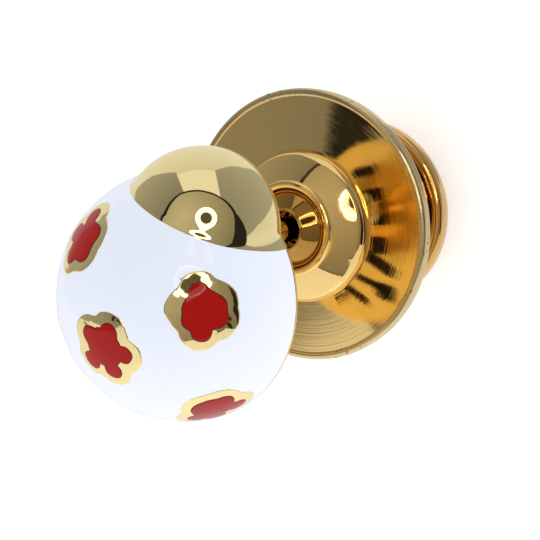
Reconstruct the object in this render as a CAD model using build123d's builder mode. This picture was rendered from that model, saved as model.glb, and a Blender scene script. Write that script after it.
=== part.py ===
from build123d import *
import os
from math import cos, radians, tan

# Tie tack: an enamelled head on a post, gripped by a pull-type ball-lock clutch.
# All lengths are in millimetres. Z runs along the post: the part stands on the flat back of its
# pull knob, at the origin, with the head on top. +Y is the side of the head with the gold cap.

# Clutch, from the knob up
knob_cap_r = 3.1
knob_cap_thickness = 0.25
sheet = 0.28
housing_bottom_z = 1.75
disc_back_z = 4.8
disc_r = 5.5
rim_side_z = 5.45
rim_bend_r = 0.3
boss_r = 3.1
boss_z = 5.78
lip_r = 1.82
lip_z = 7.04
lip_depth = 0.5
nose_z = 7.4
nose_hole_r = 0.76

# Points on the clutch's turned outlines, as (radius, height)
plate_edge = (5.22, 5.49)
face_middle = (4.16, 5.65)
boss_wall_middle = (3.02, 6.13)
boss_shoulder = (2.8, 6.4)
boss_middle = (2.41, 6.66)
lip_outside = (1.98, 6.86)
lip_inside = (1.62, 6.84)
boss_inside_middle = (2.55, 6.2)
boss_inside = (2.8, 5.5)
face_inside_middle = (4.01, 5.37)
rim_top_middle = (5.4, 5.6)
rim_inside = (5.2, 5.55)
shoulder_foot_z = 6.1
shoulder_top_z = 6.5
nose_groove = ((1.5, 6.94), (1.4, 7.0), (1.34, 6.92))
nose_edge = 0.12
nose_lead_in = 0.06
dish_hub = (1.8, 0.95)
dish_middle = (2.6, 0.82)
dish_edge = (3.3, 1.15)
knob_rim_top = (3.55, 1.35)
knob_rim_side = (3.8, 1.0)
knob_back_middle = (3.68, 0.5)
knob_back_edge = (3.35, 0)
knob_inside = ((3.4, 0.5), (3.52, 0.95))
dish_under = ((3.25, 0.85), (2.6, 0.56), (1.8, 0.75))
knob_hub_top_z = 1.3

# Ball lock
post_r = 0.52
grip_r = 0.5
shank_z = 7.55
shank_taper = 0.65
ball_r = 0.6
ball_count = 3
ball_z = 5.2
ball_clearance = 0.02
taper_half_angle = 12
pocket_r = 0.65
cage_r = 1.4
cage_bore_r = 0.62
cage_top_z = 6.0
cavity_top_z = 6.2
collar_r = 2.18
collar_z = 4.2
collar_height = 0.3
bore_clearance = 0.06
housing_bore_r = 2.25
housing_wall = 0.35
housing_curl = 0.25
housing_edge = 0.15
housing_top_z = 5.9
flange_r = 3.1
flange_thickness = 0.25
rear_cap_thickness = 0.25
lock_body_gap = 0.15
cage_edge = 0.15
washer_thickness = 0.12
wire_r = 0.09
spring_r = 1.85
spring_turns = 2.75

# Head and post
post_tip_z = 3.4
post_point = 1.0
nail_head_r = 0.85
nail_head_height = 0.3
collar_foot_r = 1.15
head_back_z = 13.1
dome_r = 5.05
dome_y = -2.0
dome_z = 13.55
cap_r = 3.2
cap_y = 1.1
cap_z = 14.1
enamel_depth = 0.4
back_rim = 0.22

# Flowers: the direction each faces from the dome's centre, and its turn about that direction
flower_facings = [
    (0.60, 0.28, 0.75),
    (0.0, -0.33, 0.944),
    (-0.60, 0.28, 0.75),
    (0.755, -0.574, 0.318),
    (-0.755, -0.574, 0.318),
]
flower_turns = [30, 0, 30, 10, -10]
petal_count = 5
petal_reach = 0.8
petal_r = 0.43
petal_core_r = 0.76
outline_width = 0.38
flower_stand_off = 0.1
flower_depth = 1.1

# Worked out from the sizes above
ball_path_r = post_r + ball_clearance + ball_r
taper_r_at_ball = ball_path_r + (ball_r + ball_clearance) / cos(radians(taper_half_angle))
taper_slope = tan(radians(taper_half_angle))
housing_r = housing_bore_r + housing_wall
rear_cap_z = housing_bottom_z + sheet
washer_z = rear_cap_z + rear_cap_thickness
lock_body_z = collar_z + collar_height + lock_body_gap
plate_front_z = disc_back_z + rim_bend_r
dome_centre = Vector(0, dome_y, dome_z)

os.makedirs("parts", exist_ok=True)


def taper_r(z):
    return taper_r_at_ball - (z - ball_z) * taper_slope


# Front plate: a spun sheet disc, domed to a boss with a beaded lip around its opening
lip_foot_z = lip_z - lip_depth
with BuildPart() as front_plate:
    with BuildSketch(Plane.XZ):
        with BuildLine():
            ThreePointArc(plate_edge, face_middle, (boss_r, boss_z))
            ThreePointArc((boss_r, boss_z), boss_wall_middle, boss_shoulder)
            ThreePointArc(boss_shoulder, boss_middle, lip_outside)
            ThreePointArc(lip_outside, (lip_r, lip_z), lip_inside)
            Line(lip_inside, (lip_inside[0], lip_foot_z))
            Line((lip_inside[0], lip_foot_z), (lip_outside[0], lip_foot_z))
            ThreePointArc((lip_outside[0], lip_foot_z), boss_inside_middle, boss_inside)
            ThreePointArc(boss_inside, face_inside_middle, (plate_edge[0], plate_edge[1] - sheet))
            Line((plate_edge[0], plate_edge[1] - sheet), plate_edge)
        make_face()
    revolve(axis=Axis.Z)
front_plate.part.label = "front_plate"
export_step(front_plate.part, "parts/front_plate.step")

# Rear plate: a flat disc whose edge is rolled up and over the front plate, as a round rim
with BuildPart() as rear_plate:
    with BuildSketch(Plane.XZ):
        with BuildLine():
            Line((housing_r, disc_back_z), (disc_r - rim_bend_r, disc_back_z))
            RadiusArc((disc_r - rim_bend_r, disc_back_z), (disc_r, plate_front_z), -rim_bend_r)
            Line((disc_r, plate_front_z), (disc_r, rim_side_z))
            ThreePointArc((disc_r, rim_side_z), rim_top_middle, rim_inside)
            Line(rim_inside, plate_edge)
            Line(plate_edge, (plate_edge[0], plate_front_z))
            Line((plate_edge[0], plate_front_z), (housing_r, plate_front_z))
            Line((housing_r, plate_front_z), (housing_r, disc_back_z))
        make_face()
    revolve(axis=Axis.Z)
rear_plate.part.label = "rear_plate"
export_step(rear_plate.part, "parts/rear_plate.step")

# Housing tube: the drawn barrel, flanged where the rear plate holds it and curled in at its end
flange_top_z = plate_front_z + flange_thickness
curl_r = housing_bore_r - housing_curl
with BuildPart() as housing_tube:
    with BuildSketch(Plane.XZ):
        with BuildLine():
            Polyline(
                (housing_r - housing_edge, housing_bottom_z),
                (housing_r, housing_bottom_z + housing_edge),
                (housing_r, plate_front_z),
                (flange_r, plate_front_z),
                (flange_r, flange_top_z),
                (housing_r, flange_top_z),
                (housing_r, housing_top_z),
                (housing_bore_r, housing_top_z),
                (housing_bore_r, rear_cap_z),
                (curl_r, rear_cap_z),
                (curl_r, housing_bottom_z),
                close=True,
            )
        make_face()
    revolve(axis=Axis.Z)
housing_tube.part.label = "housing_tube"
export_step(housing_tube.part, "parts/housing_tube.step")

# Rear cap: the ring that closes the barrel and guides the plunger
with BuildPart() as rear_cap:
    with BuildSketch(Plane.XY.offset(rear_cap_z)):
        Circle(housing_bore_r)
        Circle(cage_r + bore_clearance, mode=Mode.SUBTRACT)
    extrude(amount=rear_cap_thickness)
rear_cap.part.label = "rear_cap"
export_step(rear_cap.part, "parts/rear_cap.step")

# Lock body: turned brass, tapered inside for the balls, with the conical nose that takes the post
with BuildPart() as lock_body:
    with BuildSketch(Plane.XZ):
        with BuildLine():
            Polyline(
                (taper_r(lock_body_z), lock_body_z),
                (housing_bore_r, lock_body_z),
                (housing_bore_r, shoulder_foot_z),
                (nose_groove[0][0], shoulder_top_z),
                *nose_groove,
                (nose_hole_r + nose_edge, nose_z),
                (nose_hole_r, nose_z - nose_lead_in),
                (nose_hole_r, cavity_top_z),
                (taper_r(cavity_top_z), cavity_top_z),
                close=True,
            )
        make_face()
    revolve(axis=Axis.Z)
lock_body.part.label = "lock_body"
export_step(lock_body.part, "parts/lock_body.step")

# Spring washer and the coil spring that pushes the plunger's collar up the barrel
with BuildPart() as spring_washer:
    with BuildSketch(Plane.XY.offset(washer_z)):
        Circle(housing_bore_r - bore_clearance)
        Circle(cage_r + bore_clearance, mode=Mode.SUBTRACT)
    extrude(amount=washer_thickness)
spring_washer.part.label = "spring_washer"
export_step(spring_washer.part, "parts/spring_washer.step")

spring_bottom_z = washer_z + washer_thickness + wire_r
spring_height = collar_z - wire_r - spring_bottom_z
with BuildPart() as spring:
    with BuildLine():
        coil = Helix(
            pitch=spring_height / spring_turns,
            height=spring_height,
            radius=spring_r,
            center=(0, 0, spring_bottom_z),
        )
    with BuildSketch(Plane(origin=coil @ 0, z_dir=coil % 0)):
        Circle(wire_r)
    sweep(path=coil, is_frenet=True)
spring.part.label = "spring"
export_step(spring.part, "parts/spring.step")

# Plunger: a tube with a collar for the spring and a radial pocket for each ball
plunger_bottom_z = knob_cap_thickness + 0.05
with BuildPart() as plunger:
    with BuildSketch(Plane.XZ):
        with BuildLine():
            Polyline(
                (cage_bore_r, plunger_bottom_z),
                (cage_r, plunger_bottom_z),
                (cage_r, collar_z),
                (collar_r, collar_z),
                (collar_r, collar_z + collar_height),
                (cage_r, collar_z + collar_height),
                (cage_r, cage_top_z - cage_edge),
                (cage_r - cage_edge, cage_top_z),
                (cage_bore_r, cage_top_z),
                close=True,
            )
        make_face()
    revolve(axis=Axis.Z)
    with Locations((0, 0, ball_z)):
        with PolarLocations(0, ball_count, start_angle=90):
            Cylinder(
                pocket_r,
                collar_r,
                rotation=(0, 90, 0),
                align=(Align.CENTER, Align.CENTER, Align.MIN),
                mode=Mode.SUBTRACT,
            )
plunger.part.label = "plunger"
export_step(plunger.part, "parts/plunger.step")

# Locking balls, each a hair clear of the post, the taper and its pocket
for number in range(1, ball_count + 1):
    turn = 90 + 360 / ball_count * (number - 1)
    with BuildPart() as locking_ball:
        with Locations(Vector(ball_path_r, 0, ball_z).rotate(Axis.Z, turn)):
            Sphere(ball_r)
    locking_ball.part.label = f"locking_ball_{number}"
    export_step(locking_ball.part, f"parts/locking_ball_{number}.step")

# Knob shell: sheet drawn into a dish towards the disc, with a rolled rim and an open back
hub_r = cage_r + sheet
hub_bottom_z = dish_under[2][1]
with BuildPart() as knob_shell:
    with BuildSketch(Plane.XZ):
        with BuildLine():
            Polyline(
                (cage_r, hub_bottom_z), (cage_r, knob_hub_top_z), (hub_r, knob_hub_top_z), dish_hub
            )
            ThreePointArc(dish_hub, dish_middle, dish_edge)
            ThreePointArc(dish_edge, knob_rim_top, knob_rim_side)
            ThreePointArc(knob_rim_side, knob_back_middle, knob_back_edge)
            Polyline(knob_back_edge, (knob_cap_r, 0), (knob_cap_r, knob_cap_thickness))
            ThreePointArc((knob_cap_r, knob_cap_thickness), *knob_inside)
            Line(knob_inside[1], dish_under[0])
            ThreePointArc(*dish_under)
            Line(dish_under[2], (cage_r, hub_bottom_z))
        make_face()
    revolve(axis=Axis.Z)
knob_shell.part.label = "knob_shell"
export_step(knob_shell.part, "parts/knob_shell.step")

# Knob cap: the flat disc rolled into the back of the knob, which the tack stands on
with BuildPart() as knob_cap:
    with BuildSketch():
        Circle(knob_cap_r)
    extrude(amount=knob_cap_thickness)
knob_cap.part.label = "knob_cap"
export_step(knob_cap.part, "parts/knob_cap.step")

# Post: a round pin with a plain shank for the cloth, tapered to a part ground a little thinner
# for the balls to grip, with a sharpened end and a nail head that is soldered to the dome
nail_head_z = head_back_z - nail_head_height
with BuildPart() as post:
    with BuildSketch(Plane.XZ):
        with BuildLine():
            Polyline(
                (0, post_tip_z),
                (grip_r, post_tip_z + post_point),
                (grip_r, shank_z - shank_taper),
                (post_r, shank_z),
                (post_r, nail_head_z),
                (nail_head_r, nail_head_z),
                (nail_head_r, head_back_z),
                (0, head_back_z),
                close=True,
            )
        make_face()
    revolve(axis=Axis.Z)
post.part.label = "post"
export_step(post.part, "parts/post.step")

# Solder collar: the fillet of hard solder around the nail head
with BuildPart() as solder_collar:
    with BuildSketch(Plane.XZ):
        with BuildLine():
            Polyline(
                (nail_head_r, nail_head_z),
                (nail_head_r, head_back_z),
                (collar_foot_r, head_back_z),
                close=True,
            )
        make_face()
    revolve(axis=Axis.Z)
solder_collar.part.label = "solder_collar"
export_step(solder_collar.part, "parts/solder_collar.step")


def flower_sketch(facing, turn, grow):
    """A five-petalled flower on the plane that touches the dome where it faces."""
    outward = Vector(facing).normalized()
    across = Vector(0, 1, 0).cross(outward).rotate(Axis((0, 0, 0), outward), turn)
    origin = dome_centre + outward * (dome_r + flower_stand_off)
    touching = Plane(origin=origin, x_dir=across, z_dir=outward)
    with BuildSketch(touching) as flower:
        Circle(petal_core_r + grow)
        with PolarLocations(petal_reach, petal_count, start_angle=90):
            Circle(petal_r + grow)
    return flower.sketch


# The dome's enamelled skin, from which the fills are cut
enamel_floor_r = dome_r - enamel_depth
with BuildPart() as skin:
    with Locations(dome_centre):
        Sphere(dome_r)
        Sphere(enamel_floor_r, mode=Mode.SUBTRACT)
    split(bisect_by=Plane.XY.offset(head_back_z + back_rim))

# Red enamel: one fill inside each flower's outline
red_fills = []
for number, (facing, turn) in enumerate(zip(flower_facings, flower_turns), start=1):
    with BuildPart() as red_enamel:
        add(skin.part)
        extrude(flower_sketch(facing, turn, 0), amount=-flower_depth, mode=Mode.INTERSECT)
    red_fills.append(red_enamel.part)
    red_enamel.part.label = f"red_enamel_{number}"
    export_step(red_enamel.part, f"parts/red_enamel_{number}.step")

# White enamel: the rest of the skin, outside the gold cap and the flower outlines
with BuildPart() as white_enamel:
    add(skin.part)
    with Locations((0, cap_y, cap_z)):
        Sphere(cap_r, mode=Mode.SUBTRACT)
    for facing, turn in zip(flower_facings, flower_turns):
        extrude(
            flower_sketch(facing, turn, outline_width),
            amount=-flower_depth,
            mode=Mode.SUBTRACT,
        )
white_enamel.part.label = "white_enamel"
export_step(white_enamel.part, "parts/white_enamel.step")

# Head casting: dome and cap, with the enamel's recesses, leaving the outlines and rim in gold
with BuildPart() as head_casting:
    with Locations(dome_centre):
        Sphere(dome_r)
    with Locations((0, cap_y, cap_z)):
        Sphere(cap_r)
    split(bisect_by=Plane.XY.offset(head_back_z))
    add(white_enamel.part, mode=Mode.SUBTRACT)
    for fill in red_fills:
        add(fill, mode=Mode.SUBTRACT)
head_casting.part.label = "head_casting"
export_step(head_casting.part, "parts/head_casting.step")
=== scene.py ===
import math

import bmesh
import bpy
import numpy as np
from mathutils import Matrix, Vector


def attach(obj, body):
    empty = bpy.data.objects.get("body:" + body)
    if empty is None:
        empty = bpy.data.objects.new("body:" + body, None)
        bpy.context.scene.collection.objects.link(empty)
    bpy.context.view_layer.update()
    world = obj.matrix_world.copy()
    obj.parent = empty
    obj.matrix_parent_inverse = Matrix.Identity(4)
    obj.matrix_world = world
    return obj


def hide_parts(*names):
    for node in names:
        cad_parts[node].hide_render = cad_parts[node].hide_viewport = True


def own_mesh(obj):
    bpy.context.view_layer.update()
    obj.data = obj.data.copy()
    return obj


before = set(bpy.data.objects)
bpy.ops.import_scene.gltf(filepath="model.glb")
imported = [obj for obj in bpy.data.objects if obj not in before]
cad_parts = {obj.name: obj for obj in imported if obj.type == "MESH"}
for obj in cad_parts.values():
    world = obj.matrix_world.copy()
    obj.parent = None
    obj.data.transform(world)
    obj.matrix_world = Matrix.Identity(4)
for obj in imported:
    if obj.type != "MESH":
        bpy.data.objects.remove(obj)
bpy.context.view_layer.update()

# ---------------------------------------------------------------------------------------------
# Front plate: a brass disc spun over a former, domed up to a boss with a beaded lip, then gold
# plated over its turning marks. Its edge is held under the rear plate's rolled rim.

MM = 0.001
GOLD = (0.93, 0.74, 0.32)
TARNISH = (0.10, 0.045, 0.012)


def arc(start, middle, end, count=24):
    """Points along the arc through three (radius, height) points, the first one left out."""
    (ax, ay), (bx, by), (cx, cy) = start, middle, end
    d = 2 * (ax * (by - cy) + bx * (cy - ay) + cx * (ay - by))
    a2, b2, c2 = ax * ax + ay * ay, bx * bx + by * by, cx * cx + cy * cy
    ox = (a2 * (by - cy) + b2 * (cy - ay) + c2 * (ay - by)) / d
    oy = (a2 * (cx - bx) + b2 * (ax - cx) + c2 * (bx - ax)) / d
    first = math.atan2(ay - oy, ax - ox)
    sweep = (math.atan2(cy - oy, cx - ox) - first) % math.tau
    if (math.atan2(by - oy, bx - ox) - first) % math.tau > sweep:
        sweep -= math.tau
    radius = math.hypot(ax - ox, ay - oy)
    turns = [first + sweep * i / count for i in range(1, count + 1)]
    return [(ox + radius * math.cos(t), oy + radius * math.sin(t)) for t in turns]


def add_piece(name, mesh):
    piece = bpy.data.objects.new(name, mesh)
    bpy.context.collection.objects.link(piece)
    return piece


def turned(name, profile, steps=256):
    """A closed (radius, height) profile in millimetres, turned about the Z axis."""
    rings, verts = [], []
    for r, z in profile:
        if abs(r) < 1e-6:
            rings.append([len(verts)] * steps)
            verts.append((0.0, 0.0, z * MM))
            continue
        rings.append(list(range(len(verts), len(verts) + steps)))
        for k in range(steps):
            a = math.tau * k / steps
            verts.append((r * math.cos(a) * MM, r * math.sin(a) * MM, z * MM))
    faces = []
    for i in range(len(profile)):
        low, high = rings[i], rings[(i + 1) % len(profile)]
        if profile[i][0] == 0 and profile[(i + 1) % len(profile)][0] == 0:
            continue
        for k in range(steps):
            n = (k + 1) % steps
            corners = [low[k], low[n], high[n], high[k]]
            faces.append(list(dict.fromkeys(corners)))
    mesh = bpy.data.meshes.new(name)
    mesh.from_pydata(verts, [], faces)
    shell = bmesh.new()
    shell.from_mesh(mesh)
    bmesh.ops.recalc_face_normals(shell, faces=shell.faces)
    shell.to_mesh(mesh)
    shell.free()
    mesh.shade_smooth()
    mesh.set_sharp_from_angle(angle=math.radians(32))
    return add_piece(name, mesh)


def wire(tree, source, target):
    tree.links.new(source, target)


def maths(tree, operation, a, b=None, clamp=False):
    """A math node on sockets or plain numbers; gives back its output."""
    n = tree.nodes.new("ShaderNodeMath")
    n.operation = operation
    n.use_clamp = clamp
    for i, value in enumerate([a] if b is None else [a, b]):
        if isinstance(value, (int, float)):
            n.inputs[i].default_value = value
        else:
            wire(tree, value, n.inputs[i])
    return n.outputs[0]


def new_group(name, inputs, outputs):
    """A shader node group with (name, kind, default) inputs and (name, kind) outputs."""
    tree = bpy.data.node_groups.new(name, "ShaderNodeTree")
    for label, kind, value in inputs:
        s = tree.interface.new_socket(label, in_out="INPUT", socket_type=kind)
        s.default_value = value
    for label, kind in outputs:
        tree.interface.new_socket(label, in_out="OUTPUT", socket_type=kind)
    return tree, tree.nodes.new("NodeGroupInput"), tree.nodes.new("NodeGroupOutput")


def noise(tree, vector, scale, detail=2.0, roughness=0.5):
    n = tree.nodes.new("ShaderNodeTexNoise")
    n.inputs["Detail"].default_value = detail
    n.inputs["Roughness"].default_value = roughness
    if isinstance(scale, (int, float)):
        n.inputs["Scale"].default_value = scale
    else:
        wire(tree, scale, n.inputs["Scale"])
    wire(tree, vector, n.inputs["Vector"])
    return n.outputs["Fac"]


def ramp(tree, value, low, high, out_low=0.0, out_high=1.0):
    """A smooth step of value from low to high."""
    n = tree.nodes.new("ShaderNodeMapRange")
    n.interpolation_type = "SMOOTHSTEP"
    n.inputs["From Min"].default_value = low
    n.inputs["From Max"].default_value = high
    n.inputs["To Min"].default_value = out_low
    n.inputs["To Max"].default_value = out_high
    wire(tree, value, n.inputs["Value"])
    return n.outputs["Result"]


def make_turning_marks():
    """Fine rings left by the lathe, broken up around the turn, as a height."""
    tree, start, end = new_group(
        "turning_marks",
        [("Rings", "NodeSocketFloat", 9000.0), ("Break Up", "NodeSocketFloat", 0.9)],
        [("Height", "NodeSocketFloat")],
    )
    place = tree.nodes.new("ShaderNodeTexCoord")
    split = tree.nodes.new("ShaderNodeSeparateXYZ")
    wire(tree, place.outputs["Object"], split.inputs[0])
    x, y, z = split.outputs
    square = maths(tree, "ADD", maths(tree, "MULTIPLY", x, x), maths(tree, "MULTIPLY", y, y))
    radius = maths(tree, "MAXIMUM", maths(tree, "SQRT", square), 1e-5)
    across = maths(tree, "MULTIPLY", maths(tree, "ADD", radius, z), start.outputs["Rings"])
    turn_x = maths(tree, "MULTIPLY", maths(tree, "DIVIDE", x, radius), start.outputs["Break Up"])
    turn_y = maths(tree, "MULTIPLY", maths(tree, "DIVIDE", y, radius), start.outputs["Break Up"])
    join = tree.nodes.new("ShaderNodeCombineXYZ")
    wire(tree, across, join.inputs[0])
    wire(tree, turn_x, join.inputs[1])
    wire(tree, turn_y, join.inputs[2])
    fine = noise(tree, join.outputs[0], 1.0, detail=3.0, roughness=0.6)
    wire(tree, fine, end.inputs["Height"])
    return tree


def make_wear():
    """Pits through the plating and soft smudges, as masks."""
    tree, start, end = new_group(
        "plating_wear",
        [("Scale", "NodeSocketFloat", 6500.0), ("Pitting", "NodeSocketFloat", 0.0)],
        [("Pits", "NodeSocketFloat"), ("Smudge", "NodeSocketFloat")],
    )
    place = tree.nodes.new("ShaderNodeTexCoord")
    speckle = noise(tree, place.outputs["Object"], start.outputs["Scale"], detail=4.0)
    patches = noise(tree, place.outputs["Object"], 420.0, detail=2.0)
    depth = maths(tree, "MULTIPLY", start.outputs["Pitting"], 0.4)
    level = maths(tree, "SUBTRACT", maths(tree, "ADD", speckle, depth), 0.86)
    near = maths(tree, "MULTIPLY", level, 22.0, clamp=True)
    pits = maths(tree, "MULTIPLY", near, ramp(tree, patches, 0.50, 0.62))
    wire(tree, pits, end.inputs["Pits"])
    smudge = noise(tree, place.outputs["Object"], 700.0, detail=5.0, roughness=0.65)
    wire(tree, smudge, end.inputs["Smudge"])
    return tree


turning_marks = make_turning_marks()
plating_wear = make_wear()


def gold_plate(name, marks, rings=9000.0, pitting=0.0, rough=0.05, waves=0.0, colour=GOLD):
    """Gold plate over brass: marks is the depth of the lathe's rings, in metres."""
    material = bpy.data.materials.new(name)
    material.use_nodes = True
    tree = material.node_tree
    shade = tree.nodes["Principled BSDF"]
    shade.inputs["Metallic"].default_value = 1.0
    wear = tree.nodes.new("ShaderNodeGroup")
    wear.node_tree = plating_wear
    wear.inputs["Pitting"].default_value = pitting
    lathe = tree.nodes.new("ShaderNodeGroup")
    lathe.node_tree = turning_marks
    lathe.inputs["Rings"].default_value = rings
    tint = tree.nodes.new("ShaderNodeMix")
    tint.data_type = "RGBA"
    tint.inputs["A"].default_value = (*colour, 1)
    tint.inputs["B"].default_value = (*TARNISH, 1)
    wire(tree, wear.outputs["Pits"], tint.inputs["Factor"])
    wire(tree, tint.outputs["Result"], shade.inputs["Base Color"])
    soft = ramp(tree, wear.outputs["Smudge"], 0.35, 0.7, rough * 0.6, rough * 1.7)
    worn = maths(tree, "ADD", soft, maths(tree, "MULTIPLY", wear.outputs["Pits"], 0.5))
    wire(tree, worn, shade.inputs["Roughness"])
    # Turning marks, then the slow waves of hand polishing over them
    rings_bump = tree.nodes.new("ShaderNodeBump")
    rings_bump.inputs["Distance"].default_value = marks
    wire(tree, lathe.outputs["Height"], rings_bump.inputs["Height"])
    last = rings_bump
    if waves:
        place = tree.nodes.new("ShaderNodeTexCoord")
        swell = tree.nodes.new("ShaderNodeBump")
        swell.inputs["Distance"].default_value = waves
        wire(tree, noise(tree, place.outputs["Object"], 900.0), swell.inputs["Height"])
        wire(tree, rings_bump.outputs["Normal"], swell.inputs["Normal"])
        last = swell
    wire(tree, last.outputs["Normal"], shade.inputs["Normal"])
    return material


def dress(piece, material, body, slot, *nodes):
    """Gives a piece its material and body, and hides the CAD nodes it stands for. The slot is not
    used.
    """
    piece.data.materials.clear()
    piece.data.materials.append(material)
    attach(piece, body)
    if nodes:
        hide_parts(*nodes)


disc_r = 5.5
plate_edge = 5.22
rim_z = 5.5
boss_foot = (3.1, 5.78)
lip_outside = (1.98, 6.86)
lip_top = (1.82, 7.04)
lip_inside = (1.62, 6.84)
face_profile = [(plate_edge, rim_z)]
face_profile += arc((plate_edge, rim_z), (4.16, 5.65), boss_foot, 40)
face_profile += arc(boss_foot, (3.06, 6.1), (2.9, 6.33), 16)
face_profile += arc((2.9, 6.33), (2.46, 6.61), lip_outside, 24)
face_profile += arc(lip_outside, lip_top, lip_inside, 20)
face_profile += [(1.62, 6.54), (1.98, 6.54)]
face_profile += arc((1.98, 6.54), (2.55, 6.2), (2.8, 5.5), 12)
face_profile += arc((2.8, 5.5), (4.01, 5.37), (plate_edge, rim_z - 0.28), 12)
front_plate = turned("front_plate_face", face_profile)
spun_gold = gold_plate(
    "spun_gold", marks=2.4e-6, rings=15000.0, rough=0.05, colour=(0.92, 0.65, 0.26)
)
dress(front_plate, spun_gold, "clutch_shell", "spun_gold", "front_plate")

# ---------------------------------------------------------------------------------------------
# Rear plate: a flat stamped disc whose edge is rolled over the front plate as a round rim. The
# rim stands proud, so its plating is rubbed pale and pitted.

rim_profile = [(2.6, 4.8), (5.2, 4.8)]
rim_profile += arc((5.2, 4.8), (5.41, 4.89), (disc_r, 5.1), 12)
rim_profile += [(disc_r, 5.25)]
rim_profile += arc((disc_r, 5.25), (5.39, 5.55), (5.24, rim_z + 0.02), 18)
rim_profile += [(5.2, rim_z - 0.04), (5.2, 5.1), (2.6, 5.1)]
rear_plate = turned("rear_plate_rim", rim_profile)
rim_gold = gold_plate(
    "worn_rim_gold", marks=0.8e-6, pitting=0.6, rough=0.16, colour=(0.72, 0.56, 0.30)
)
dress(rear_plate, rim_gold, "clutch_shell", "spun_gold", "rear_plate")

# ---------------------------------------------------------------------------------------------
# Lock body: turned brass with a conical nose that leads the post in, sitting inside the boss.
# Its dark red-brown colour is painted shade and painted reflection of the gold around it.

nose_profile = [(1.88, 4.65), (2.25, 4.65), (2.25, 6.1), (1.58, 6.5), (1.58, 6.84)]
nose_profile += arc((1.58, 6.84), (1.54, 6.9), (1.49, 6.86), 8)
nose_profile += [(1.47, 6.84)]
nose_profile += arc((1.45, 6.87), (1.16, 7.12), (0.88, 7.34), 16)
nose_profile += arc((0.88, 7.34), (0.8, 7.38), (0.76, 7.3), 8)
nose_profile += [(0.76, 6.2), (1.56, 6.2)]
lock_body = turned("lock_body_nose", nose_profile)
# Dark red-brown colour: painted shade and painted reflection of the gold around the nose.
nose_brass_painted_shade = gold_plate(
    "nose_brass_painted_shade", marks=2.6e-6, rings=15000.0, rough=0.06, waves=1.2e-5, colour=(0.46, 0.25, 0.06)
)
dress(lock_body, nose_brass_painted_shade, "clutch_shell", "turned_brass", "lock_body")

# ---------------------------------------------------------------------------------------------
# Housing tube and rear cap: the drawn barrel behind the disc, curled in over the ring that
# guides the plunger.

tube_profile = [(2.0, 1.75), (2.45, 1.75)]
tube_profile += arc((2.45, 1.75), (2.56, 1.79), (2.6, 1.9), 8)
tube_profile += [(2.6, 5.1), (3.1, 5.1), (3.1, 5.35), (2.6, 5.35), (2.6, 5.9)]
tube_profile += [(2.25, 5.9), (2.25, 2.03), (2.0, 2.03)]
housing = turned("housing_barrel", tube_profile)
drawn_gold = gold_plate("drawn_gold", marks=0.9e-6, rough=0.1)
dress(housing, drawn_gold, "clutch_shell", "spun_gold", "housing_tube")

cap_ring = turned("rear_cap_ring", [(1.46, 2.03), (2.25, 2.03), (2.25, 2.28), (1.46, 2.28)])
dress(cap_ring, drawn_gold, "clutch_shell", "spun_gold", "rear_cap")

# ---------------------------------------------------------------------------------------------
# Plunger, balls and washer: the works inside the barrel. They keep their own shapes, and get
# turned brass, ground steel and drawn wire.

plunger_brass = gold_plate("plunger_brass", marks=1.6e-6, rough=0.16, colour=(0.80, 0.55, 0.22))


def steel(name, rough, marks):
    return gold_plate(name, marks=marks, rough=rough, colour=(0.56, 0.57, 0.60))


ball_steel = steel("ground_ball_steel", 0.05, 0.2e-6)
wire_steel = steel("spring_wire_steel", 0.2, 1.5e-6)
inner_works = {"plunger": plunger_brass, "spring_washer": wire_steel}
for number in (1, 2, 3):
    inner_works[f"locking_ball_{number}"] = ball_steel
for node_name, material in inner_works.items():
    node_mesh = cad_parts[node_name].data
    node_mesh.materials.clear()
    node_mesh.materials.append(material)

# ---------------------------------------------------------------------------------------------
# Spring: open coils of round steel wire between the washer and the plunger's collar.

spring_foot = 2.4
spring_top = 4.2
coil_r = 1.85
wire_r = 0.09
knob_travel = 1.0


def new_geometry_tree(name, sizes, vectors=()):
    """A geometry node tree on points, with named sizes, vectors and a material as inputs."""
    tree = bpy.data.node_groups.new(name, "GeometryNodeTree")
    face = tree.interface
    face.new_socket("Geometry", in_out="INPUT", socket_type="NodeSocketGeometry")
    for label, value in sizes.items():
        s = face.new_socket(label, in_out="INPUT", socket_type="NodeSocketFloat")
        s.default_value = value
    for label in vectors:
        face.new_socket(label, in_out="INPUT", socket_type="NodeSocketVector")
    face.new_socket("Material", in_out="INPUT", socket_type="NodeSocketMaterial")
    face.new_socket("Geometry", in_out="OUTPUT", socket_type="NodeSocketGeometry")
    return tree, tree.nodes.new("NodeGroupInput"), tree.nodes.new("NodeGroupOutput")


def stand_on_points(tree, start, end, shape, attributes=()):
    """Ends a tree: shape on each point, placed by its attributes, as a real painted mesh."""
    place = tree.nodes.new("GeometryNodeInstanceOnPoints")
    wire(tree, start.outputs["Geometry"], place.inputs["Points"])
    wire(tree, shape, place.inputs["Instance"])
    for label, target in attributes:
        n = tree.nodes.new("GeometryNodeInputNamedAttribute")
        n.data_type = "FLOAT_VECTOR"
        n.inputs["Name"].default_value = label
        wire(tree, n.outputs["Attribute"], place.inputs[target])
    real = tree.nodes.new("GeometryNodeRealizeInstances")
    wire(tree, place.outputs[0], real.inputs[0])
    paint = tree.nodes.new("GeometryNodeSetMaterial")
    wire(tree, real.outputs[0], paint.inputs["Geometry"])
    wire(tree, start.outputs["Material"], paint.inputs["Material"])
    wire(tree, paint.outputs[0], end.inputs[0])


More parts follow.
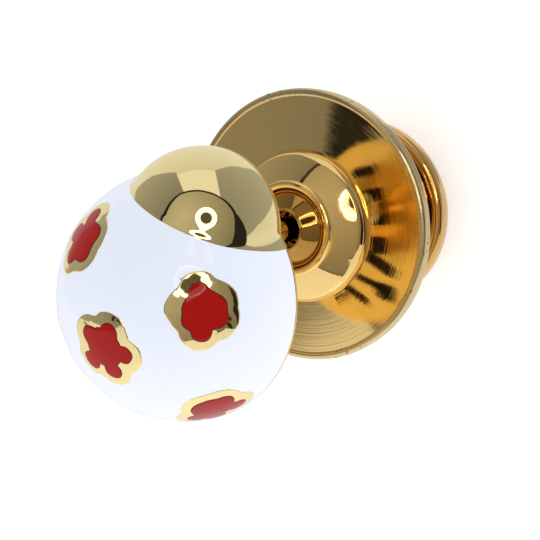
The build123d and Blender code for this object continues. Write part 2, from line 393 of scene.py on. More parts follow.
def make_coil_tree():
    """A coil of round wire that stands on each point."""
    sizes = {"Turns": 3.0, "Coil Radius": 2e-3, "Height": 2e-3, "Wire Radius": 1e-4}
    tree, start, end = new_geometry_tree("coiled_wire", sizes)
    coil = tree.nodes.new("GeometryNodeCurveSpiral")
    coil.inputs["Resolution"].default_value = 64
    wire(tree, start.outputs["Turns"], coil.inputs["Rotations"])
    wire(tree, start.outputs["Coil Radius"], coil.inputs["Start Radius"])
    wire(tree, start.outputs["Coil Radius"], coil.inputs["End Radius"])
    wire(tree, start.outputs["Height"], coil.inputs["Height"])
    section = tree.nodes.new("GeometryNodeCurvePrimitiveCircle")
    section.inputs["Resolution"].default_value = 16
    wire(tree, start.outputs["Wire Radius"], section.inputs["Radius"])
    tube = tree.nodes.new("GeometryNodeCurveToMesh")
    tube.inputs["Fill Caps"].default_value = True
    wire(tree, coil.outputs[0], tube.inputs["Curve"])
    wire(tree, section.outputs[0], tube.inputs["Profile Curve"])
    smooth = tree.nodes.new("GeometryNodeSetShadeSmooth")
    wire(tree, tube.outputs[0], smooth.inputs["Geometry"])
    stand_on_points(tree, start, end, smooth.outputs[0])
    return tree


def grow(name, points, attributes, tree, material, **sizes):
    """Runs a node tree on points with vector attributes; keeps its result as a plain mesh."""
    mesh = bpy.data.meshes.new(name)
    mesh.from_pydata(points, [], [])
    for label, rows in attributes.items():
        layer = mesh.attributes.new(label, "FLOAT_VECTOR", "POINT")
        layer.data.foreach_set("vector", np.array(rows, dtype=float).ravel())
    seedbed = add_piece(name, mesh)
    grower = seedbed.modifiers.new("grow", "NODES")
    grower.node_group = tree
    ids = {s.name: s.identifier for s in tree.interface.items_tree if s.in_out == "INPUT"}
    sizes["Material"] = material
    for label, value in sizes.items():
        grower[ids[label]] = value
    bpy.context.view_layer.update()
    grown = seedbed.evaluated_get(bpy.context.evaluated_depsgraph_get())
    result = bpy.data.meshes.new_from_object(grown)
    bpy.data.objects.remove(seedbed)
    result.name = name
    shell = bmesh.new()
    shell.from_mesh(result)
    bmesh.ops.recalc_face_normals(shell, faces=shell.faces)
    shell.to_mesh(result)
    shell.free()
    return add_piece(name, result)


spring = grow(
    "return_spring",
    [(0, 0, (spring_foot + wire_r) * MM)],
    {},
    make_coil_tree(),
    wire_steel,
    **{
        "Turns": 2.75,
        "Coil Radius": coil_r * MM,
        "Height": (spring_top - spring_foot - 2 * wire_r) * MM,
        "Wire Radius": wire_r * MM,
    },
)
dress(spring, wire_steel, "clutch_shell", "spring_steel", "spring")
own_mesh(spring)

# ---------------------------------------------------------------------------------------------
# Knob: sheet brass pressed into a dish that the fingers pull, with a rolled rim, closed behind
# by a flat disc. Its deep orange gold is painted shade and painted reflection from the disc
# above.

knob_r = 3.8
dish_profile = [(1.4, 0.75), (1.4, 1.3), (1.68, 1.3), (1.8, 0.95)]
dish_profile += arc((1.8, 0.95), (2.6, 0.82), (3.3, 1.15), 24)
dish_profile += arc((3.3, 1.15), (3.55, 1.35), (knob_r, 1.0), 24)
dish_profile += arc((knob_r, 1.0), (3.68, 0.5), (3.35, 0.0), 20)
dish_profile += [(3.1, 0.0), (3.1, 0.25)]
dish_profile += arc((3.1, 0.25), (3.4, 0.5), (3.52, 0.95), 12)
dish_profile += [(3.25, 0.85)]
dish_profile += arc((3.25, 0.85), (2.6, 0.56), (1.8, 0.75), 16)
knob = turned("knob_dish", dish_profile)
# Deep orange colour: painted shade and painted reflection between the dish and the disc.
knob_gold_painted_shade = gold_plate("knob_gold_painted_shade", marks=0.9e-6, rough=0.07, colour=(0.78, 0.46, 0.15))
dress(knob, knob_gold_painted_shade, "plunger", "spun_gold", "knob_shell")

back_profile = [(0.0, 0.0), (2.98, 0.0)]
back_profile += arc((2.98, 0.0), (3.06, 0.03), (3.1, 0.1), 6)
back_profile += [(3.1, 0.25), (0.0, 0.25)]
knob_back = turned("knob_back_disc", back_profile)
dress(knob_back, knob_gold_painted_shade, "plunger", "spun_gold", "knob_cap")

# ---------------------------------------------------------------------------------------------
# Post: hard-drawn wire, sharpened at the tip, with a nail head hard-soldered under the dome.

back_z = 13.1
post_profile = [(0.0, 3.4), (0.04, 3.41), (0.5, 4.4), (0.5, 6.9), (0.52, 7.55), (0.52, 12.72)]
post_profile += arc((0.52, 12.72), (0.56, 12.78), (0.64, 12.8), 6)
post_profile += [(0.85, 12.8), (0.85, back_z), (0.0, back_z)]
post = turned("post_pin", post_profile, steps=96)
post_gold = gold_plate("post_gold", marks=0.8e-6, rings=12000.0, rough=0.07)
dress(post, post_gold, "head", "polished_gold", "post")

collar_profile = [(0.85, 12.82)]
collar_profile += arc((0.85, 12.82), (0.96, 13.0), (1.15, back_z), 10)
collar_profile += [(0.85, back_z)]
collar = turned("solder_fillet", collar_profile, steps=96)
solder_gold = gold_plate("solder_gold", marks=0.5e-6, rough=0.2, waves=6e-6)
dress(collar, solder_gold, "head", "polished_gold", "solder_collar")

# ---------------------------------------------------------------------------------------------
# Gold cap: the part of the head casting that stands out of the dome's side, mirror polished.
# It meets the dome in a small fillet. The white enamel swells a little against it at the top,
# and stops along a straight edge.

plate_top = 13.3
dome_r = 5.05
dome_y = -2.0
dome_z = 13.55
cap_r = 3.2
cap_y = 1.1
cap_z = 14.1
fillet = 0.14
enamel_swell = 0.225
swell_width = 0.75
swell_from_z = 14.9
swell_full_z = 17.2
enamel_edge_y = 1.73
dome_centre = Vector((0, dome_y * MM, dome_z * MM))
cap_from_dome = np.array([0, cap_y - dome_y, cap_z - dome_z])


def head_radius(ways):
    """How far the head's skin is from the dome's centre along unit vectors, in millimetres."""
    along_cap = ways @ cap_from_dome
    reach = along_cap + np.sqrt(along_cap**2 - cap_from_dome @ cap_from_dome + cap_r**2)
    above = ways[..., 2] * dome_r + dome_z - swell_from_z
    height = np.clip(above / (swell_full_z - swell_from_z), 0, 1)
    short = np.maximum(enamel_edge_y - dome_y - ways[..., 1] * reach.clip(dome_r), 0)
    close = np.clip(1 - short / swell_width, 0, 1)
    swell = close**2 * (3 - 2 * close) * height**2 * (3 - 2 * height)
    dome = dome_r + enamel_swell * swell
    near = np.clip(1 - np.abs(reach - dome) / fillet, 0, 1)
    return np.maximum(reach, dome) + near**2 * fillet / 4


def head_part(name, bottom_z, side, steps, rings):
    """The head above bottom_z on one side of the enamel's edge (+1 for the cap's), closed."""
    polar = np.linspace(0, math.radians(103), rings)[:, None]
    turn = np.linspace(0, math.tau, steps, endpoint=False)[None, :]
    ways = np.stack(
        [np.sin(polar) * np.cos(turn), np.sin(polar) * np.sin(turn), np.cos(polar) + 0 * turn], -1
    ).reshape(-1, 3)
    points = (ways * head_radius(ways)[:, None] + [0, dome_y, dome_z]) * MM
    shell = bmesh.new()
    top = shell.verts.new(points[0])
    rows = [[top] * steps]
    for i in range(1, rings):
        rows.append([shell.verts.new(p) for p in points[i * steps : (i + 1) * steps]])
    for low, high in zip(rows[1:], rows):
        for k in range(steps):
            n = (k + 1) % steps
            shell.faces.new(list(dict.fromkeys([low[k], low[n], high[n], high[k]])))
    for place, normal in (((0, 0, bottom_z), (0, 0, -1)), ((0, enamel_edge_y, 0), (0, -side, 0))):
        everything = shell.verts[:] + shell.edges[:] + shell.faces[:]
        bmesh.ops.bisect_plane(
            shell,
            geom=everything,
            dist=1e-8,
            plane_co=[c * MM for c in place],
            plane_no=normal,
            clear_outer=True,
        )
        edges = [e for e in shell.edges if e.is_boundary]
        bmesh.ops.contextual_create(shell, geom=edges)
    bmesh.ops.recalc_face_normals(shell, faces=shell.faces)
    mesh = bpy.data.meshes.new(name)
    shell.to_mesh(mesh)
    shell.free()
    mesh.shade_smooth()
    mesh.set_sharp_from_angle(angle=math.radians(40))
    return add_piece(name, mesh)


cap_gold = gold_plate("cap_gold", marks=0.0, rough=0.015, colour=(0.95, 0.80, 0.40))
gold_cap = head_part("gold_cap", plate_top, 1, 600, 280)
dress(gold_cap, cap_gold, "head", "polished_gold")

# ---------------------------------------------------------------------------------------------
# Back plate: the head's flat back, a stamped gold disc soldered on under the dome and the cap.
# Its rim shows as a thin bright line. Near-black bars lie on it: painted shade for dark slots.


def plate_edge_radius(turns, height):
    """How far the head's outline is from the post at one height, in millimetres."""
    low, high = np.full(turns.shape, 1.0), np.full(turns.shape, 9.0)
    for _ in range(40):
        middle = (low + high) / 2
        x, y = middle * np.cos(turns), middle * np.sin(turns)
        arm = np.stack([x, y - dome_y, np.full(turns.shape, height - dome_z)], -1)
        length = np.linalg.norm(arm, axis=-1)
        inside = length < head_radius(arm / length[:, None])
        low, high = np.where(inside, middle, low), np.where(inside, high, middle)
    return low


def make_back_plate():
    turns = np.linspace(0, math.tau, 480, endpoint=False)
    outline = plate_edge_radius(turns, 13.2)
    edge = [(back_z, -0.07), (back_z + 0.02, -0.025), (back_z + 0.07, 0.0)]
    edge += [(plate_top - 0.06, 0.012), (plate_top - 0.015, 0.0), (plate_top, -0.03)]
    verts = [(0, 0, back_z * MM)]
    for height, grow in edge:
        r = (outline + grow) * MM
        verts += zip(r * np.cos(turns), r * np.sin(turns), [height * MM] * len(turns))
    verts.append((0, 0, plate_top * MM))
    count, last = len(turns), len(verts) - 1
    faces = []
    for k in range(count):
        n = (k + 1) % count
        faces.append((0, 1 + n, 1 + k))
        for i in range(len(edge) - 1):
            low, high = 1 + i * count, 1 + (i + 1) * count
            faces.append((low + k, low + n, high + n, high + k))
        top = 1 + (len(edge) - 1) * count
        faces.append((top + k, top + n, last))
    mesh = bpy.data.meshes.new("back_plate")
    mesh.from_pydata(verts, [], faces)
    mesh.shade_smooth()
    mesh.set_sharp_from_angle(angle=math.radians(50))
    return add_piece("back_plate", mesh)


back_plate = make_back_plate()
plate_gold = gold_plate("back_plate_gold", marks=0.8e-6, rough=0.2, colour=(0.90, 0.62, 0.20))
dress(back_plate, plate_gold, "head", "polished_gold", "head_casting")

bars = [
    (-0.85, 2.28, 1.50, 0.62, 33),
    (0.27, 1.27, 1.45, 0.80, 33),
    (1.31, 0.11, 1.25, 0.66, 26),
    (1.80, -1.40, 1.15, 1.10, 27),
    (2.25, -2.42, 2.10, 0.80, -12),
    (1.75, -3.85, 1.50, 0.46, 5),
    (3.05, -3.95, 1.20, 1.05, 12),
    (1.40, -5.02, 1.85, 0.54, -8),
    (0.60, -5.70, 1.20, 0.40, 52),
]


def make_bar_tree():
    """A thin block on each point, sized and turned by the point's own attributes."""
    tree, start, end = new_geometry_tree("painted_shade_bars", {"Thickness": 4e-5})
    outline = tree.nodes.new("GeometryNodeCurvePrimitiveQuadrilateral")
    outline.inputs["Width"].default_value = 1.0
    outline.inputs["Height"].default_value = 1.0
    soft = tree.nodes.new("GeometryNodeFilletCurve")
    soft.mode = "POLY"
    soft.inputs["Radius"].default_value = 0.22
    soft.inputs["Count"].default_value = 5
    wire(tree, outline.outputs[0], soft.inputs["Curve"])
    fill = tree.nodes.new("GeometryNodeFillCurve")
    wire(tree, soft.outputs[0], fill.inputs["Curve"])
    block = tree.nodes.new("GeometryNodeExtrudeMesh")
    block.inputs["Individual"].default_value = False
    wire(tree, fill.outputs[0], block.inputs["Mesh"])
    wire(tree, start.outputs["Thickness"], block.inputs["Offset Scale"])
    back = tree.nodes.new("GeometryNodeFlipFaces")
    wire(tree, fill.outputs[0], back.inputs[0])
    join = tree.nodes.new("GeometryNodeJoinGeometry")
    wire(tree, block.outputs["Mesh"], join.inputs[0])
    wire(tree, back.outputs[0], join.inputs[0])
    weld = tree.nodes.new("GeometryNodeMergeByDistance")
    weld.inputs["Distance"].default_value = 1e-6
    wire(tree, join.outputs[0], weld.inputs["Geometry"])
    by_attribute = (("size", "Scale"), ("turn", "Rotation"))
    stand_on_points(tree, start, end, weld.outputs[0], by_attribute)
    return tree


# Near-black bars: painted shade standing in for dark slots into the hollow head.
bar_shade_material = bpy.data.materials.new("bar_painted_shade")
bar_shade_material.use_nodes = True
tree = bar_shade_material.node_tree
shade = tree.nodes["Principled BSDF"]
place = tree.nodes.new("ShaderNodeTexCoord")
bar_shade_tone = tree.nodes.new("ShaderNodeMix")
bar_shade_tone.data_type = "RGBA"
bar_shade_tone.inputs["A"].default_value = (0.004, 0.002, 0.001, 1)
bar_shade_tone.inputs["B"].default_value = (0.02, 0.009, 0.003, 1)
wire(tree, noise(tree, place.outputs["Object"], 3000.0, detail=3.0), bar_shade_tone.inputs["Factor"])
wire(tree, bar_shade_tone.outputs["Result"], shade.inputs["Base Color"])
shade.inputs["Roughness"].default_value = 0.6
shade.inputs["Specular IOR Level"].default_value = 0.1
stamped = grow(
    "painted_shade_bars",
    [(x * MM, y * MM, (back_z - 0.006) * MM) for x, y, _, _, _ in bars],
    {
        "size": [(length * MM, width * MM, 1) for _, _, length, width, _ in bars],
        "turn": [(0, 0, math.radians(angle)) for _, _, _, _, angle in bars],
    },
    make_bar_tree(),
    bar_shade_material,
    Thickness=2e-5,
)
dress(stamped, bar_shade_material, "head", "polished_gold")

# ---------------------------------------------------------------------------------------------
# White enamel: powdered glass fired into the dome's recess and polished flush with the gold.
# A few dark specks are fired in.

white_enamel = head_part("white_enamel_glaze", plate_top, -1, 420, 200)
white_glass = bpy.data.materials.new("white_enamel_glass")
white_glass.use_nodes = True
tree = white_glass.node_tree
shade = tree.nodes["Principled BSDF"]
shade.inputs["Roughness"].default_value = 0.06
shade.inputs["IOR"].default_value = 1.5
shade.inputs["Specular IOR Level"].default_value = 0.22
place = tree.nodes.new("ShaderNodeTexCoord")
clouds = noise(tree, place.outputs["Object"], 500.0, detail=4.0)
milk = tree.nodes.new("ShaderNodeMix")
milk.data_type = "RGBA"
milk.inputs["A"].default_value = (0.77, 0.81, 0.93, 1)
milk.inputs["B"].default_value = (0.80, 0.84, 0.95, 1)
wire(tree, clouds, milk.inputs["Factor"])
specks = tree.nodes.new("ShaderNodeTexVoronoi")
specks.inputs["Scale"].default_value = 1100.0
wire(tree, place.outputs["Object"], specks.inputs["Vector"])
dot = ramp(tree, specks.outputs["Distance"], 0.05, 0.10, 1.0, 0.0)
chance = tree.nodes.new("ShaderNodeSeparateColor")
wire(tree, specks.outputs["Color"], chance.inputs[0])
rare = maths(tree, "GREATER_THAN", chance.outputs[0], 0.93)
spot = maths(tree, "MULTIPLY", maths(tree, "MULTIPLY", dot, rare), 0.45)
speckled = tree.nodes.new("ShaderNodeMix")
speckled.data_type = "RGBA"
speckled.inputs["B"].default_value = (0.16, 0.15, 0.17, 1)
wire(tree, spot, speckled.inputs["Factor"])
wire(tree, milk.outputs["Result"], speckled.inputs["A"])
wire(tree, speckled.outputs["Result"], shade.inputs["Base Color"])
peel = tree.nodes.new("ShaderNodeBump")
peel.inputs["Distance"].default_value = 1.2e-6
wire(tree, noise(tree, place.outputs["Object"], 1100.0), peel.inputs["Height"])
wire(tree, peel.outputs["Normal"], shade.inputs["Normal"])
dress(white_enamel, white_glass, "head", "white_enamel", "white_enamel")

# ---------------------------------------------------------------------------------------------
# Flowers: five gold outlines that stand up through the white, each filled with red enamel. A
# node tree shapes each flower from its five petals and wraps it to the dome.

facings = [(0.60, 0.28, 0.75), (0.0, -0.33, 0.944), (-0.60, 0.28, 0.75)]
facings += [(0.755, -0.574, 0.318), (-0.755, -0.574, 0.318)]
# Each petal is (degrees clockwise from +Y, reach in millimetres)
gold_petals = [
    [(-30, 1.22), (44, 1.14), (104, 1.20), (172, 1.30), (-104, 1.18)],
    [(2, 1.25), (85, 1.36), (149, 1.44), (-149, 1.40), (-78, 1.27)],
    [(-33, 1.50), (34, 0.92), (116, 1.02), (-168, 1.22), (-96, 1.42)],
    [(4, 1.00), (66, 1.42), (138, 1.40), (-172, 1.45), (-92, 0.98)],
    [(-6, 1.12), (70, 1.12), (142, 1.28), (-146, 1.28), (-74, 1.22)],
]
red_petals = [
    [(-30, 1.20), (55, 0.98), (101, 1.10), (168, 1.30), (-146, 1.05)],
    [(4, 1.23), (81, 1.36), (149, 1.47), (-151, 1.52), (-78, 1.24)],
    [(-38, 1.56), (36, 1.04), (116, 1.06), (-166, 1.24), (-96, 1.45)],
    [(10, 1.05), (74, 1.46), (138, 1.40), (-176, 1.46), (-97, 0.94)],
    [(-6, 1.12), (70, 1.12), (142, 1.27), (-146, 1.27), (-74, 1.22)],
]


def make_flower_tree():
    """Rings of points run from a flower's middle over its edge and back under the glaze."""
    sizes = {
        "Petal Radius": 0.42e-3,
        "Core Radius": 0.88e-3,
        "Grow": 0.0,
        "Softness": 0.30e-3,
        "Lift": 2e-5,
        "Dish": 1.5e-5,
        "Sink": 1.5e-4,
        "Wobble": 1e-4,
        "Seed": 3.0,
        "Dome Radius": dome_r * MM,
    }
    tree, start, end = new_geometry_tree("petals_on_dome", sizes, ["Dome Centre"])

    def add(kind, **settings):
        n = tree.nodes.new(kind)
        for key, value in settings.items():
            setattr(n, key, value)
        return n

    def m(operation, a, b=None, clamp=False):
        return maths(tree, operation, a, b, clamp)

    def read(label, kind="FLOAT_VECTOR"):
        n = add("GeometryNodeInputNamedAttribute", data_type=kind)
        n.inputs["Name"].default_value = label
        return n.outputs["Attribute"]

    def store(geometry, label, value, kind="FLOAT"):
        n = add("GeometryNodeStoreNamedAttribute", data_type=kind, domain="POINT")
        n.inputs["Name"].default_value = label
        wire(tree, geometry, n.inputs["Geometry"])
        wire(tree, value, n.inputs["Value"])
        return n.outputs[0]

    def split(vector):
        n = add("ShaderNodeSeparateXYZ")
        wire(tree, vector, n.inputs[0])
        return n.outputs

    def scaled(vector, amount):
        n = add("ShaderNodeVectorMath", operation="SCALE")
        wire(tree, vector, n.inputs[0])
        wire(tree, amount, n.inputs["Scale"])
        return n.outputs[0]

    def together(*vectors):
        total = vectors[0]
        for vector in vectors[1:]:
            n = add("ShaderNodeVectorMath", operation="ADD")
            wire(tree, total, n.inputs[0])
            wire(tree, vector, n.inputs[1])
            total = n.outputs[0]
        return total

    grid = add("GeometryNodeMeshGrid")
    grid.inputs["Size X"].default_value = 1.0
    grid.inputs["Size Y"].default_value = 1.0
    grid.inputs["Vertices X"].default_value = 30
    grid.inputs["Vertices Y"].default_value = 241
    x, y, _ = split(add("GeometryNodeInputPosition").outputs[0])
    marked = store(grid.outputs["Mesh"], "ring", m("ADD", x, 0.5))
    marked = store(marked, "turn", m("MULTIPLY", m("ADD", y, 0.5), math.tau))
    place = add("GeometryNodeInstanceOnPoints")
    wire(tree, start.outputs["Geometry"], place.inputs["Points"])
    wire(tree, marked, place.inputs["Instance"])
    real = add("GeometryNodeRealizeInstances")
    wire(tree, place.outputs[0], real.inputs[0])

    ring, turn = read("ring", "FLOAT"), read("turn", "FLOAT")
    out = m("DIVIDE", ring, 0.84, clamp=True)
    back = m("DIVIDE", m("SUBTRACT", ring, 0.92), 0.08, clamp=True)
    under = m("DIVIDE", m("SUBTRACT", ring, 0.84), 0.08, clamp=True)
    share = m("SUBTRACT", out, back)
    reach = m("ADD", start.outputs["Core Radius"], start.outputs["Grow"])
    petal_r = m("ADD", start.outputs["Petal Radius"], start.outputs["Grow"])
    for number in range(5):
        petal = split(read(f"petal_{number}"))
        away = m("SUBTRACT", turn, petal[0])
        middle = m("SUBTRACT", petal[1], start.outputs["Petal Radius"])
        aside = m("MULTIPLY", middle, m("SINE", away))
        room = m("SUBTRACT", m("MULTIPLY", petal_r, petal_r), m("MULTIPLY", aside, aside))
        chord = m("SQRT", m("MAXIMUM", room, 0.0))
        facing = m("GREATER_THAN", m("COSINE", away), 0.0)
        far = m("ADD", m("MULTIPLY", middle, m("COSINE", away)), chord)
        hit = m("MULTIPLY", m("GREATER_THAN", room, 0.0), facing)
        soft = add("ShaderNodeMath", operation="SMOOTH_MAX")
        wire(tree, reach, soft.inputs[0])
        wire(tree, m("MULTIPLY", far, hit), soft.inputs[1])
        wire(tree, start.outputs["Softness"], soft.inputs[2])
        reach = soft.outputs[0]
    radius = m("MULTIPLY", reach, share)
    east = m("MULTIPLY", radius, m("SINE", turn))
    north = m("MULTIPLY", radius, m("COSINE", turn))
    round_off = m("SUBTRACT", 1.0, m("POWER", out, 12.0))
    dish = m("MULTIPLY", start.outputs["Dish"], m("SUBTRACT", 1.0, m("POWER", out, 3.0)))
    rise = m("MULTIPLY", start.outputs["Lift"], m("ADD", 0.6, m("MULTIPLY", round_off, 0.4)))
    top = m("SUBTRACT", rise, dish)
    height = m("SUBTRACT", top, m("MULTIPLY", under, start.outputs["Sink"]))
    flat = together(
        scaled(read("outward"), start.outputs["Dome Radius"]),
        scaled(read("across"), east),
        scaled(read("along"), north),
    )
    field = add("ShaderNodeTexNoise", noise_dimensions="4D")
    field.inputs["Scale"].default_value = 1500.0
    field.inputs["Detail"].default_value = 2.0
    wire(tree, flat, field.inputs["Vector"])
    wire(tree, start.outputs["Seed"], field.inputs["W"])
    centred = add("ShaderNodeVectorMath", operation="SUBTRACT")
    centred.inputs[1].default_value = (0.5, 0.5, 0.5)
    wire(tree, field.outputs["Color"], centred.inputs[0])
    moved = together(flat, scaled(centred.outputs[0], start.outputs["Wobble"]))
    unit = add("ShaderNodeVectorMath", operation="NORMALIZE")
    wire(tree, moved, unit.inputs[0])
    distance = m("ADD", start.outputs["Dome Radius"], height)
    placed = together(scaled(unit.outputs[0], distance), start.outputs["Dome Centre"])
    shaped = add("GeometryNodeSetPosition")
    to_edge = m("DIVIDE", m("SUBTRACT", reach, radius), MM)
    wire(tree, store(real.outputs[0], "toward_edge", to_edge), shaped.inputs["Geometry"])
    wire(tree, placed, shaped.inputs["Position"])
    weld = add("GeometryNodeMergeByDistance")
    weld.inputs["Distance"].default_value = 1e-7
    wire(tree, shaped.outputs[0], weld.inputs["Geometry"])
    smooth = add("GeometryNodeSetShadeSmooth")
    wire(tree, weld.outputs[0], smooth.inputs["Geometry"])
    paint = add("GeometryNodeSetMaterial")
    wire(tree, smooth.outputs[0], paint.inputs["Geometry"])
    wire(tree, start.outputs["Material"], paint.inputs["Material"])
    wire(tree, paint.outputs[0], end.inputs[0])
    return tree


flower_tree = make_flower_tree()


def grow_flowers(name, petals, material, **sizes):
    """All five flowers of one colour, each a closed mesh, joined in one piece."""
    outward = [Vector(f).normalized() for f in facings]
    along = [(Vector((0, 1, 0)) - n * n.y).normalized() for n in outward]
    across = [up.cross(n) for up, n in zip(along, outward)]
    attributes = {"outward": outward, "along": along, "across": across}
    for number in range(5):
        rows = [flower[number] for flower in petals]
        attributes[f"petal_{number}"] = [(math.radians(a), r * MM, 0) for a, r in rows]
    sizes["Dome Centre"] = dome_centre
    points = [dome_centre + n * dome_r * MM for n in outward]
    return grow(name, points, attributes, flower_tree, material, **sizes)


flower_gold = gold_plate(
    "flower_gold", marks=0.0, rough=0.05, waves=7e-5, colour=(0.95, 0.78, 0.38)
)
outlines = grow_flowers(
    "flower_outlines",
    gold_petals,
    flower_gold,
    **{"Grow": 0.43e-3, "Lift": 1.4e-5, "Dish": 0.0, "Wobble": 2.0e-4, "Seed": 7.0},
)
dress(outlines, flower_gold, "head", "polished_gold")

red_glass = bpy.data.materials.new("red_enamel_glass")
red_glass.use_nodes = True
tree = red_glass.node_tree
shade = tree.nodes["Principled BSDF"]
shade.inputs["Roughness"].default_value = 0.03
shade.inputs["Specular IOR Level"].default_value = 0.2
shade.inputs["IOR"].default_value = 1.5
place = tree.nodes.new("ShaderNodeTexCoord")
depth = tree.nodes.new("ShaderNodeMix")
depth.data_type = "RGBA"
depth.inputs["A"].default_value = (0.29, 0.003, 0.002, 1)
depth.inputs["B"].default_value = (0.37, 0.006, 0.004, 1)
wire(tree, noise(tree, place.outputs["Object"], 1400.0, detail=3.0), depth.inputs["Factor"])
# The red turns near black close to its edge: painted shade of the narrow gap between the red and
# the gold.
edge = tree.nodes.new("ShaderNodeAttribute")
edge.attribute_name = "toward_edge"
line = tree.nodes.new("ShaderNodeMix")
line.data_type = "RGBA"
line.inputs["B"].default_value = (0.03, 0.008, 0.004, 1)
wire(tree, ramp(tree, edge.outputs["Fac"], 0.035, 0.075, 1.0, 0.0), line.inputs["Factor"])
wire(tree, depth.outputs["Result"], line.inputs["A"])
wire(tree, line.outputs["Result"], shade.inputs["Base Color"])
reds = grow_flowers(
    "red_enamel_fills",
    red_petals,
    red_glass,
    **{"Lift": 3.2e-5, "Dish": 0.8e-5, "Wobble": 1.6e-4, "Seed": 2.0},
)
red_nodes = [f"red_enamel_{i}" for i in range(1, 6)]
dress(reds, red_glass, "head", "red_enamel", *red_nodes)

# ---------------------------------------------------------------------------------------------
# Floor: a plain pale sheet, low enough for the knob to be pulled down above it. It isn't part
# of the object.

floor_mesh = bpy.data.meshes.new("floor")
span = 2.0
knob_clearance = 0.02
floor_z = -(knob_travel + knob_clearance) * MM
corners = [(-span, -span), (span, -span), (span, span), (-span, span)]
floor_mesh.from_pydata([(x, y, floor_z) for x, y in corners], [], [(0, 1, 2, 3)])
floor = add_piece("floor", floor_mesh)
paper = bpy.data.materials.new("pale_paper")
paper.use_nodes = True
shade = paper.node_tree.nodes["Principled BSDF"]
shade.inputs["Base Color"].default_value = (0.93, 0.93, 0.93, 1)
shade.inputs["Roughness"].default_value = 0.9
shade.inputs["Emission Color"].default_value = (1, 1, 1, 1)
shade.inputs["Emission Strength"].default_value = 0.4
floor_mesh.materials.append(paper)
floor.visible_glossy = False

# ---------------------------------------------------------------------------------------------
# Camera: a long lens, looking down on the head from the front, turned so that +Y is up.

toward = Vector((0.422, 0.341, 0.84)).normalized()
right = Vector((0.784, 0.328, -0.527)).normalized()
upward = toward.cross(right).normalized()
right = upward.cross(toward).normalized()
stand_off = 0.25
aim = dome_centre + right * 3.403 * MM + upward * 0.955 * MM
lens = bpy.data.cameras.new("camera")
lens.lens = 422.0
lens.sensor_width = 36.0
lens.clip_start = 0.01
lens.clip_end = 10.0
camera = bpy.data.objects.new("camera", lens)
bpy.context.collection.objects.link(camera)
turn = Matrix((right, upward, toward)).transposed().to_4x4()
camera.matrix_world = Matrix.Translation(aim + toward * stand_off) @ turn
bpy.context.scene.camera = camera

# ---------------------------------------------------------------------------------------------
# Studio: a soft white tent. What the polished gold mirrors is in the world: a ring lamp, two
# grey side panels with a white gap above, and a dark edge around the front opening.

world = bpy.data.worlds.new("studio")
bpy.context.scene.world = world
world.use_nodes = True
tree = world.node_tree
tree.nodes.clear()
sky = tree.nodes.new("ShaderNodeTexCoord")
radian = math.degrees(1)


def part_along(axis):
    n = tree.nodes.new("ShaderNodeVectorMath")
    n.operation = "DOT_PRODUCT"
    n.inputs[1].default_value = axis
    wire(tree, sky.outputs["Generated"], n.inputs[0])
    return n.outputs["Value"]


def w(operation, a, b=None, clamp=False):
    return maths(tree, operation, a, b, clamp)


def degrees_from(axis):
    bounded = w("MINIMUM", w("MAXIMUM", part_along(axis), -1.0), 1.0)
    return w("MULTIPLY", w("ARCCOSINE", bounded), radian)


def polar(theta, phi):
    t, p = math.radians(theta), math.radians(phi)
    return toward * math.cos(t) + (right * math.cos(p) + upward * math.sin(p)) * math.sin(t)


def outline(*stops):
    """A boundary around the camera's axis, in degrees from it, as (degrees around, degrees)."""
    n = tree.nodes.new("ShaderNodeValToRGB")
    wire(tree, w("DIVIDE", around_from_below, 360.0), n.inputs[0])
    bar = n.color_ramp.elements
    while len(bar) < len(stops):
        bar.new(0.5)
    for element, (phi, theta) in zip(bar, stops):
        element.position = (phi + 90) / 360
        element.color = (theta / 180, theta / 180, theta / 180, 1)
    return w("MULTIPLY", n.outputs[0], 180.0)


def within(value, low, high, soft):
    """1 where value is between low and high, with soft edges."""
    enter = w("DIVIDE", w("SUBTRACT", value, low), soft, clamp=True)
    leave = w("DIVIDE", w("SUBTRACT", high, value), soft, clamp=True)
    return w("MULTIPLY", enter, leave)


def blend(base, mask, level):
    return w("ADD", w("MULTIPLY", base, w("SUBTRACT", 1.0, mask)), w("MULTIPLY", mask, level))


# Directions are degrees from the camera's axis, and degrees around it from the camera's right
front = degrees_from(toward)
around = w("MULTIPLY", w("ARCTAN2", part_along(upward), part_along(right)), radian)
around_from_below = w("MODULO", w("ADD", around, 450.0), 360.0)
flat_x = w("MULTIPLY", front, w("COSINE", w("DIVIDE", around, radian)))
flat_y = w("MULTIPLY", front, w("SINE", w("DIVIDE", around, radian)))

# Dark edge of the tent's front opening
arc_inner = outline(
    (-90, 42), (-61, 44.6), (-45, 52), (-34, 56), (-28, 50), (0, 48), (20, 50), (58, 48.5),
    (81, 49), (105, 52), (124, 55.5), (160, 54), (176, 52), (188, 50.5), (200, 58), (206, 60),
)
arc_outer = outline(
    (-90, 42), (-61, 44.6), (-45, 52), (-34, 56), (-28, 74), (-8, 67), (8, 59), (20, 53.5),
    (58, 50), (81, 50.8), (105, 53.8), (124, 57.2), (165, 58), (188, 58), (200, 66), (206, 60),
)
opening = within(front, w("SUBTRACT", arc_inner, 0.8), w("ADD", arc_outer, 0.9), 0.8)
inside = w("SUBTRACT", 1.0, w("DIVIDE", w("SUBTRACT", front, arc_inner), 1.0, clamp=True))

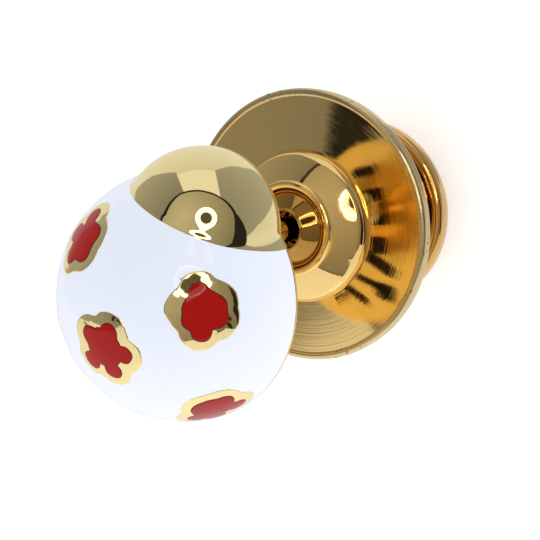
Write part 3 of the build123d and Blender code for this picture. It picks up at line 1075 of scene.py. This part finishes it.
# Grey side panels: each has an outline and a straight inner edge beside the white gap
right_outer = outline(
    (-90, 50), (-20, 60), (-14, 68), (1, 87), (12, 113), (19, 133), (25, 145), (33, 147),
    (42, 144), (49, 139), (55, 125), (65, 110), (72, 97), (80, 86), (90, 50),
)
right_edge = w("SUBTRACT", 33.0, w("MULTIPLY", flat_y, 0.153))
right_of_gap = w("DIVIDE", w("SUBTRACT", flat_x, right_edge), 1.5, clamp=True)
right_panel = w("MULTIPLY", within(front, 40, right_outer, 2.0), right_of_gap)
right_panel = w("MULTIPLY", right_panel, within(around_from_below, 68, 180, 4.0))
left_outer = outline(
    (100, 50), (112, 90), (126, 107), (134, 119), (143, 128), (151, 135), (180, 138),
    (200, 100), (215, 60),
)
left_edge = w("SUBTRACT", -4.0, w("MULTIPLY", flat_y, 0.42))
left_of_gap = w("DIVIDE", w("SUBTRACT", left_edge, flat_x), 1.5, clamp=True)
left_panel = w("MULTIPLY", within(front, 40, left_outer, 2.0), left_of_gap)
left_panel = w("MULTIPLY", left_panel, within(around_from_below, 190, 300, 4.0))
white_gap = within(front, 40, 88, 1.0)
white_gap = w("MULTIPLY", white_gap, within(around_from_below, 140, 220, 1.0))

# How bright each region is
away_from_lamp = degrees_from(polar(30, 150))
inside_level = w("SUBTRACT", 0.56, w("MULTIPLY", away_from_lamp, 0.0042))
right_level = w("ADD", 0.20, w("MULTIPLY", front, 0.0017))
left_level = w("ADD", 0.10, w("MULTIPLY", front, 0.0024))
below = w("MAXIMUM", part_along(-upward), 0.0)
glow = w("ADD", 0.64, w("MULTIPLY", ramp(tree, front, 50, 150), 0.16))
glow = w("ADD", glow, w("MULTIPLY", below, 0.35))
glow = blend(glow, white_gap, 0.84)
glow = blend(glow, right_panel, right_level)
glow = blend(glow, left_panel, left_level)
glow = blend(glow, inside, inside_level)
glow = blend(glow, opening, 0.02)

# Ring lamp beside the lens, with a drop at its lower edge and a bright line of small lights
lamp = degrees_from(polar(13.4, 60))
lamp_hole, lamp_rim = 8.0, 15.5
glow = blend(glow, within(lamp, -1, lamp_hole + 0.5, 1.0), 0.10)
from_lamp_x = w("SUBTRACT", flat_x, 6.7)
from_lamp_y = w("SUBTRACT", flat_y, 11.6)
toward_drop = w("ADD", w("MULTIPLY", from_lamp_x, -0.29), w("MULTIPLY", from_lamp_y, -0.96))
drop = w("MULTIPLY", w("POWER", w("DIVIDE", toward_drop, lamp, clamp=True), 12.0), 3.5)
band = within(w("SUBTRACT", lamp, drop), -9.0, lamp_rim, 0.8)
glow = blend(glow, w("MULTIPLY", within(lamp, lamp_hole, 40.0, 0.8), band), 2.6)
glow = w("ADD", glow, w("MULTIPLY", within(lamp, 13.2, 14.4, 0.4), 9.0))
low_ring = degrees_from(polar(89, -85))
glow = w("ADD", glow, w("MULTIPLY", within(low_ring, 6.8, 7.9, 0.5), 2.2))

soft_fill = w("MULTIPLY", part_along(-upward * 0.92 - right * 0.38), 0.25)
soft_fill = w("ADD", 0.99, soft_fill)
path = tree.nodes.new("ShaderNodeLightPath")
seen = tree.nodes.new("ShaderNodeCombineColor")
for loss, target in zip((0.0, 0.09, 0.22), seen.inputs):
    warm = w("SUBTRACT", 1.0, w("MULTIPLY", inside, loss))
    wire(tree, w("MULTIPLY", glow, warm), target)
shown = tree.nodes.new("ShaderNodeMix")
shown.data_type = "RGBA"
wire(tree, path.outputs["Is Glossy Ray"], shown.inputs["Factor"])
plain = tree.nodes.new("ShaderNodeCombineColor")
level = blend(soft_fill, path.outputs["Is Camera Ray"], 1.0)
for target in plain.inputs:
    wire(tree, level, target)
wire(tree, plain.outputs[0], shown.inputs["A"])
wire(tree, seen.outputs[0], shown.inputs["B"])
background = tree.nodes.new("ShaderNodeBackground")
wire(tree, shown.outputs["Result"], background.inputs["Color"])
result = tree.nodes.new("ShaderNodeOutputWorld")
wire(tree, background.outputs[0], result.inputs["Surface"])

bpy.context.scene.view_settings.view_transform = "Standard"

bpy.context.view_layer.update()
